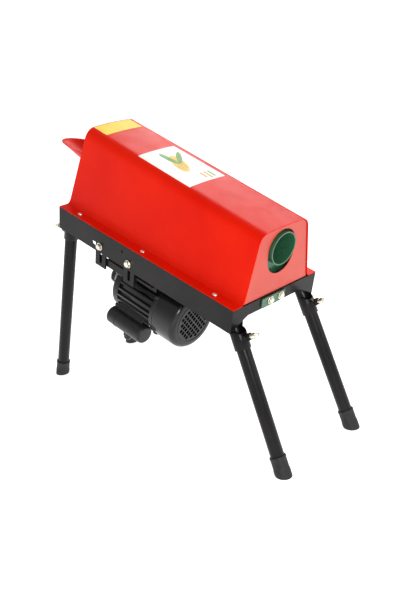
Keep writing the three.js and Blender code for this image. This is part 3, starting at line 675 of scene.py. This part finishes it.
def hex_bolt(head_height=5.5, washer=9.0, half=7.6, shank=0.0):
    """Head outwards along +Z from its seat at z = 0, with a washer under it."""
    parts = []
    seat = 1.6 if washer else 0.0
    if washer:
        ring = rounded_profile([(4, 0), (washer, 0), (washer, seat), (4, seat), (4, 0)], 0.35)
        parts.append(lathe(ring, axis="Z", sides=40))
    top = seat + head_height
    head = [(0, seat), (half - 0.3, seat), (half, seat + 0.4), (half, top - 1.1),
            (half - 1.4, top), (half - 2, top), (half - 2.3, top - 0.4), (0, top - 0.4)]
    parts.append(lathe(head, axis="Z", sides=6, turn=0.3))
    if shank:
        step = HALF_PITCH
        thread = [(0, 0)] + [(4.0 - 0.45 * (i % 2), -step * i) for i in range(int(shank / step))]
        parts.append(lathe(thread + [(0, thread[-1][1])], axis="Z", sides=24))
    return combined(*parts)


SEAT_Z = HOOD_SHEET + 0.6
for index, x in enumerate(SCREW_X):
    for side_name, side in (("left", -1), ("right", 1)):
        turn = Matrix.Rotation(0.7 * index + 0.4 * side, 4, "Z")
        at = Matrix.Translation((x, side * SCREW_Y, SEAT_Z))
        screw = replace_node(f"pan_screw_{side_name}_{index + 1}", moved(pan_head(), at @ turn),
                             ZINC, f"hood_screw_{side_name}_{index + 1}", angle=35)
        bevelled(screw, 0.15, 1)

for side_name, side in (("left", -1), ("right", 1)):
    for index, x in enumerate(HANGER_X):
        at = Matrix.Translation((x, side * (HALF_WIDTH + 0.3), HANGER_Z))
        outward = Matrix.Rotation(-side * math.pi / 2, 4, "X")
        turn = Matrix.Rotation(0.35 + 0.5 * index, 4, "Z")
        bolt = replace_node(f"hanger_hex_{side_name}_{index + 1}",
                            moved(hex_bolt(shank=6.5), at @ outward @ turn), ZINC,
                            f"hanger_bolt_{side_name}_{index + 1}")
        bevelled(bolt, 0.25, 2)

FOOT_FACE, FOOT_BOLT_Z = HALF_LENGTH + 3.6, -12
for index, y in enumerate((-20.5, 11.5)):
    at = Matrix.Translation((FOOT_FACE, y, FOOT_BOLT_Z))
    outward = Matrix.Rotation(math.pi / 2, 4, "Y")
    turn = Matrix.Rotation(0.5 * index, 4, "Z")
    bolt = replace_node(f"casing_hex_{index + 1}",
                        moved(hex_bolt(4.2, 8.6, 7.0, 21), at @ outward @ turn), ZINC,
                        f"casing_bolt_{index + 1}")
    bevelled(bolt, 0.25, 2)


# ------------------------------------------------------------------ outlet collar and feed chute
collar = rounded_profile([(33, -22), (36, -22), (36, 18), (36, 19.2), (33, 19.2), (33, -22)], 0.9)
replace_node("collar_tube", lathe(collar, (CASING_FRONT, 0, CHANNEL), sides=112), GREEN,
             "outlet_collar", angle=40)

CHUTE_BEND, CHUTE_RISE, LIP_FALL = -255, math.tan(math.radians(12)), math.tan(math.radians(7))
LIP_X, LIP_Z, CHUTE_INSIDE, CHUTE_WALL = -276.5, 111, -112.3, 14
CHUTE_OUTER, CHUTE_INNER = 44, 42


def chute():
    """Half-round trough that rises outwards and ends on a sloping plane in a pointed tongue."""
    bm = bmesh.new()
    grids = []
    for radius in (CHUTE_OUTER, CHUTE_INNER):
        half = [(radius, CHUTE_WALL), (radius, CHUTE_WALL / 2)] + arc(radius, (0, 0), 0, -180, 56)
        section = half + [(-radius, CHUTE_WALL / 2), (-radius, CHUTE_WALL)]
        grid = []
        for y, z in section:
            reach = CHANNEL + z + CHUTE_RISE * CHUTE_BEND - LIP_Z + LIP_FALL * LIP_X
            end = min(reach / (LIP_FALL + CHUTE_RISE), LIP_X)
            stations = [CHUTE_INSIDE, -180, CHUTE_BEND + 6, CHUTE_BEND]
            stations += [CHUTE_BEND + (end - CHUTE_BEND) * i / 20 for i in range(1, 21)]
            row = []
            for x in stations:
                height = CHANNEL + z + CHUTE_RISE * max(CHUTE_BEND - x, 0)
                if x <= LIP_X:
                    height = min(height, LIP_Z)
                row.append(bm.verts.new((x, y, height)))
            grid.append(row)
        grids.append(grid)
    return shell(bm, *grids)


bevelled(replace_node("chute_trough", chute(), RED, "feed_chute", angle=40), 0.5, 2, 50)


# ------------------------------------------------------------------ motor
CORNERS = (45, 135, 225, 315)       # angles round the motor of its screws and lugs
COWL_REAR, COWL_WALL, COWL_CURVE = STATOR_FRONT + 3, 1.8, 13
GRILLE_RADIUS = 48
GRILLE_RIM = GRILLE_RADIUS - 1.6
curve_centre = (COWL_RADIUS - COWL_CURVE, MOTOR_FRONT - COWL_CURVE)
side_curve = arc(COWL_CURVE, curve_centre, 0, 90, 9)
cowl_line = [(COWL_RADIUS, COWL_REAR + 9), *side_curve, (GRILLE_RADIUS + 1.5, MOTOR_FRONT),
             (GRILLE_RADIUS + 1, MOTOR_FRONT + 1.1), (GRILLE_RADIUS - 1, MOTOR_FRONT + 1.1),
             (GRILLE_RIM, MOTOR_FRONT - 0.2)]
inner_line = [(max(r - COWL_WALL, GRILLE_RIM), x - COWL_WALL)
              for r, x in reversed(cowl_line[1:-4])]
cowl_ring = [(COWL_RADIUS - COWL_WALL, COWL_REAR), (COWL_RADIUS + 0.9, COWL_REAR),
             (COWL_RADIUS + 0.9, COWL_REAR + 8.4), *cowl_line,
             (GRILLE_RIM, MOTOR_FRONT - COWL_WALL), *inner_line,
             (COWL_RADIUS - COWL_WALL, COWL_REAR)]


def grille():
    """Face plate with small square holes in a diagonal lattice, parted by a cross of plain bars."""
    pitch, half, cross = 9.9, 3.8, 0.5
    holes = []
    for i in range(-5, 5):
        for j in range(-5, 5):
            a = (i + 0.5) * pitch + math.copysign(cross, i + 0.5)
            b = (j + 0.5) * pitch + math.copysign(cross, j + 0.5)
            if math.hypot(a, b) < GRILLE_RADIUS - 5:
                holes.append([(a - half, b - half), (a - half, b + half),
                              (a + half, b + half), (a + half, b - half)])
    plate = perforated(arc(GRILLE_RADIUS, (0, 0), 0, 360, 96)[:-1], holes, COWL_WALL)
    upright = Matrix.Rotation(math.pi / 2, 4, "Y") @ Matrix.Rotation(math.radians(38), 4, "Z")
    at = Matrix.Translation((MOTOR_FRONT - COWL_WALL / 2, MOTOR_Y, MOTOR_Z))
    return moved(plate, at @ upright)


cowl = combined(lathe(cowl_ring, (0, MOTOR_Y, MOTOR_Z), sides=112), grille())
replace_node("cowl_and_grille", cowl, MOTOR, "fan_cowl", angle=38)
for index, angle in enumerate(CORNERS):
    at = Matrix.Translation((COWL_REAR + 4.5, MOTOR_Y, MOTOR_Z))
    outward = (Matrix.Rotation(math.radians(angle), 4, "X")
               @ Matrix.Translation((0, 0, COWL_RADIUS - 0.2)))
    screw = add_piece(f"cowl_screw_{index + 1}", moved(pan_head(), at @ outward), MOTOR,
                      "fan_cowl")
    bevelled(screw, 0.15, 1)

shield_line = rounded_profile([(8.15, 0), (22, 0), (22, 6), (36, 9), (56, 13), (60, 17),
                               (60, 33.7), (53, 33.7), (53, 24), (8.15, 15), (8.15, 0)], 1.2)
shield_parts = [lathe(shield_line, (MOTOR_REAR, MOTOR_Y, MOTOR_Z), sides=96)]
ON_FACE = Matrix(((0, 0, 1, 0), (1, 0, 0, 0), (0, 1, 0, 0), (0, 0, 0, 1)))
for index in range(8):
    rib = block((-1.6, 21, 0), (1.6, 55, 8))
    for vert in rib.verts:
        vert.co.z = 12.5 if vert.co.z > 4 else (3.2 if vert.co.y < 30 else 10.5)
    stand = (Matrix.Translation((MOTOR_REAR, MOTOR_Y, MOTOR_Z))
             @ Matrix.Rotation(math.radians(45 * index + 22.5), 4, "X"))
    shield_parts.append(moved(rib, stand @ ON_FACE))
LUG_START, LUG_CIRCLE = 14, 61
lug_centres = [(MOTOR_Y + LUG_CIRCLE * math.cos(math.radians(angle)),
                MOTOR_Z + LUG_CIRCLE * math.sin(math.radians(angle))) for angle in CORNERS]
for centre in lug_centres:
    lug = rounded_profile([(0, LUG_START), (5.4, LUG_START), (5.4, 33), (0, 33)], 1.0)
    shield_parts.append(lathe(lug, (MOTOR_REAR, *centre), sides=28))
bevelled(replace_node("shield_ribbed", combined(*shield_parts), MOTOR, "drive_end_shield"), 0.6, 2)
for index, centre in enumerate(lug_centres):
    at = Matrix.Translation((MOTOR_REAR + LUG_START, *centre))
    bolt = moved(hex_bolt(3.2, 0, 4.4), at @ Matrix.Rotation(-math.pi / 2, 4, "Y"))
    bevelled(add_piece(f"shield_bolt_{index + 1}", bolt, ZINC, "drive_end_shield"), 0.2, 2)

tub_line = rounded_profile([(0, 0), (TUB_RADIUS, 0), (TUB_RADIUS, TUB_LENGTH), (0, TUB_LENGTH)],
                           7, 8)
saddle = moved(block((-45, -14.5, -15), (45, 14.5, 15)),
               Matrix.Translation((-40, TUB_Y + 15, TUB_Z + 16))
               @ Matrix.Rotation(math.radians(-43), 4, "X"))
seam_low, seam_high = TUB_RADIUS - 1, TUB_RADIUS + 0.7
seam = rounded_profile([(seam_low, 27), (seam_high, 27), (seam_high, 30), (seam_low, 30),
                        (seam_low, 27)], 0.3)
tub = combined(lathe(tub_line, (TUB_REAR, TUB_Y, TUB_Z), sides=80),
               lathe(seam, (TUB_REAR, TUB_Y, TUB_Z), sides=80), saddle)
bevelled(replace_node("capacitor_moulding", tub, PLASTIC, "capacitor_tub"), 1.4, 3)

gland_at = (GLAND_X, TUB_Y, TUB_Z - TUB_RADIUS - 0.3)
nut = lathe([(0, 0), (10.4, 0), (11, -0.6), (11, -8.4), (10.2, -9), (0, -9)], gland_at, "Z", 6)
dome = lathe([(8, -8.5), (9.6, -9.2), (9.6, -13), (8.9, -15.2), (7.4, -17.6), (6.2, -18.8),
              (4.4, -19), (4, -18.6), (4, -8.5), (8, -8.5)], gland_at, "Z", 48)
bevelled(replace_node("gland_nut", combined(nut, dome), PLASTIC, "cable_gland"), 0.4, 2)


# ------------------------------------------------------------------ pulleys and belt
BELT_X, ROTOR_Z = -140, 24
ROTOR_GROOVE, MOTOR_GROOVE = 20.3, 13.3
BELT_CLEARANCE, BELT_DEPTH = 1.6, 7     # the belt's inner and outer line above the grooves' roots


def v_pulley(radius):
    bore, root, chamfer = 8.3, radius - 9, radius - 0.8
    line = [(bore, -9), (chamfer, -9), (radius, -8.2), (radius, -6.1), (root, -4.2), (root, 4.2),
            (radius, 6.1), (radius, 8.2), (chamfer, 9), (14, 9), (13.2, 9), (bore, 9), (bore, -9)]
    return rounded_profile(line, 0.4)


replace_node("rotor_v_pulley", lathe(v_pulley(29), (BELT_X, 0, ROTOR_Z), sides=88), STEEL,
             "rotor_pulley", angle=35)
replace_node("motor_v_pulley", lathe(v_pulley(22), (BELT_X, MOTOR_Y, MOTOR_Z), sides=72), STEEL,
             "motor_pulley", angle=35)


def belt_path(extra, steps=28):
    """The loop round both pulleys, at a height above the grooves' roots."""
    a, ra = Vector((0, ROTOR_Z)), ROTOR_GROOVE + extra
    b, rb = Vector((MOTOR_Y, MOTOR_Z)), MOTOR_GROOVE + extra
    heading = math.degrees(math.atan2(b.y - a.y, b.x - a.x))
    spread = math.degrees(math.acos((ra - rb) / (b - a).length))
    small = arc(rb, b, heading - spread, heading + spread, steps)
    large = arc(ra, a, heading + spread, heading + 360 - spread, steps)

    def run(p, q):
        return [(p[0] + (q[0] - p[0]) * i / 24, p[1] + (q[1] - p[1]) * i / 24)
                for i in range(1, 24)]
    return small + run(small[-1], large[0]) + large + run(large[-1], small[0])


def v_belt():
    bm = bmesh.new()
    inner, outer = belt_path(BELT_CLEARANCE), belt_path(BELT_DEPTH)
    section = ((inner, -3.7), (inner, 3.7), (outer, 5.0), (outer, -5.0))
    rings = [[bm.verts.new((BELT_X + x, *path[i])) for path, x in section]
             for i in range(len(inner))]
    for here, after in zip(rings, rings[1:] + rings[:1]):
        for j in range(4):
            k = (j + 1) % 4
            bm.faces.new((here[j], here[k], after[k], after[j]))
    return bm


belt = replace_node("v_belt", v_belt(), BELT, "drive_belt", angle=35)
bevelled(belt, 0.5, 2, 40)
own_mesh(belt)


# ------------------------------------------------------------------ legs
SOCKET_Y, SOCKET_Z, LEG_SPREAD = 107, -54, 1.8      # a leg's origin; its lean outwards, degrees
LEG_RADIUS, LEG_WALL, FOOT_RADIUS, FOOT_HEIGHT = 14.6, 2, 17.5, 42
FLOOR_GAP = 0.00002                 # metres
FRONT_LEG = dict(x=279, splay=35, tube_top=-8, bolt=-15, face=1)
REAR_LEG = dict(x=-261, splay=-2.5, tube_top=40, bolt=-13, face=-1)


def wing_bolt():
    """Thread along +X into the socket, hub and two forged wings at its head."""
    tip, head, step = 15.2, 41, 0.625
    thread = [(0, tip), (3.2, tip)]
    count = int((head - tip) / step)
    thread += [(4.0 - 0.5 * (i % 2), tip + 0.6 + step * i) for i in range(count)] + [(0, head)]
    hub = rounded_profile([(0, head - 1), (6.8, head - 1), (5.6, head + 7), (0, head + 7.6)], 1.2)
    wing = [(41, -5), (41.8, -9.5), (43.4, -11.4), (46, -12), (50, -11.9), (51.5, -10.6),
            (51.5, -7.4), (50, -4.6), (49, -2.5)]
    wings = prism(wing + [(x, -y) for x, y in reversed(wing)], -2.6, 2.6)
    return combined(lathe(thread, sides=28), lathe(hub, sides=36), wings)


def rubber_foot(top, tube_end, under, leg_frame):
    """A ribbed cap over the tube's end, cut level with the floor."""
    bore, outer, waist = LEG_RADIUS + 0.2, FOOT_RADIUS, FOOT_RADIUS - 0.7
    cap = [(bore, top), (LEG_RADIUS + 0.9, top + 0.4), (outer - 0.9, top), (outer - 0.2, top - 1.5),
           (outer, top - 3.4), (outer, top - 5), (waist, top - 5.8), (waist, top - 27),
           (outer, top - 28.2), (outer, under), (0, under), (0, tube_end - 0.3),
           (bore, tube_end - 0.3), (bore, top)]
    rubber = moved(lathe(cap, axis="Z", sides=64), leg_frame)
    cut = bmesh.ops.bisect_plane(rubber, geom=[*rubber.verts, *rubber.edges, *rubber.faces],
                                 plane_co=(0, 0, FLOOR_GAP), plane_no=(0, 0, -1),
                                 clear_outer=True)
    rim = [g for g in cut["geom_cut"] if isinstance(g, bmesh.types.BMEdge)]
    bmesh.ops.holes_fill(rubber, edges=rim, sides=0)
    return rubber


for end, leg in (("front", FRONT_LEG), ("rear", REAR_LEG)):
    for side_name, side in (("left", -1), ("right", 1)):
        where = f"{end}_{side_name}"
        leg_frame = (MACHINE @ Matrix.Translation((leg["x"], side * SOCKET_Y, SOCKET_Z))
                     @ Matrix.Rotation(math.radians(-leg["splay"]), 4, "Y")
                     @ Matrix.Rotation(math.radians(side * LEG_SPREAD), 4, "X"))
        down = (leg_frame.to_3x3() @ Vector((0, 0, -1))).normalized()
        reach = 1000 * leg_frame.translation.z / -down.z    # from the leg's origin to the floor
        low, high, inside = FOOT_HEIGHT / 2 - reach, leg["tube_top"], LEG_RADIUS - LEG_WALL
        tube = rounded_profile([(inside, low), (LEG_RADIUS, low), (LEG_RADIUS, high),
                                (inside, high), (inside, low)], 0.6)
        replace_node(f"tube_{where}", lathe(tube, axis="Z", sides=72), BLACK,
                     f"leg_tube_{where}", matrix=leg_frame)
        rubber = rubber_foot(FOOT_HEIGHT - reach, low, -reach - FOOT_RADIUS, leg_frame)
        foot = replace_node(f"cap_{where}", rubber, RUBBER, f"foot_{where}",
                            matrix=Matrix.Identity(4))
        bevelled(foot, 0.6, 2)
        facing = Matrix.Identity(4) if leg["face"] > 0 else Matrix.Rotation(math.pi, 4, "Z")
        bolt_frame = leg_frame @ Matrix.Translation((0, 0, leg["bolt"])) @ facing
        bolt = replace_node(f"wing_bolt_{where}", wing_bolt(), ZINC, f"clamp_bolt_{where}",
                            matrix=bolt_frame)
        bevelled(bolt, 0.9, 3, 40)
        nut_line = [(4.4, 25.4), (7.6, 25.4), (8.2, 26), (8.2, 31), (7.4, 31.8), (4.4, 31.8),
                    (4.4, 25.4)]
        nut = add_piece(f"weld_nut_{where}", lathe(nut_line, sides=6), BLACK,
                        f"leg_socket_{where}", matrix=bolt_frame)
        bevelled(nut, 0.4, 2)


# ------------------------------------------------------------------ floor
FLOOR_REACH = 150                   # metres: its edge lies beyond the pictures
floor_mesh = bpy.data.meshes.new("floor")
floor_mesh.from_pydata([(-FLOOR_REACH, -FLOOR_REACH, 0), (FLOOR_REACH, -FLOOR_REACH, 0),
                        (FLOOR_REACH, FLOOR_REACH, 0), (-FLOOR_REACH, FLOOR_REACH, 0)],
                       [], [(0, 1, 2, 3)])
floor = bpy.data.objects.new("floor", floor_mesh)
scene.collection.objects.link(floor)
floor_shade = Shade("pale_floor", Specular_IOR_Level=0.1, Emission_Color=(1, 1, 1, 1),
                    Emission_Strength=0.7)
floor_shade.colours(floor_shade.noise(2), (0.9, 0.9, 0.9), (0.93, 0.93, 0.93))
floor_shade.rough(floor_shade.noise(3), 0.6, 0.7)
floor.data.materials.append(floor_shade.material)
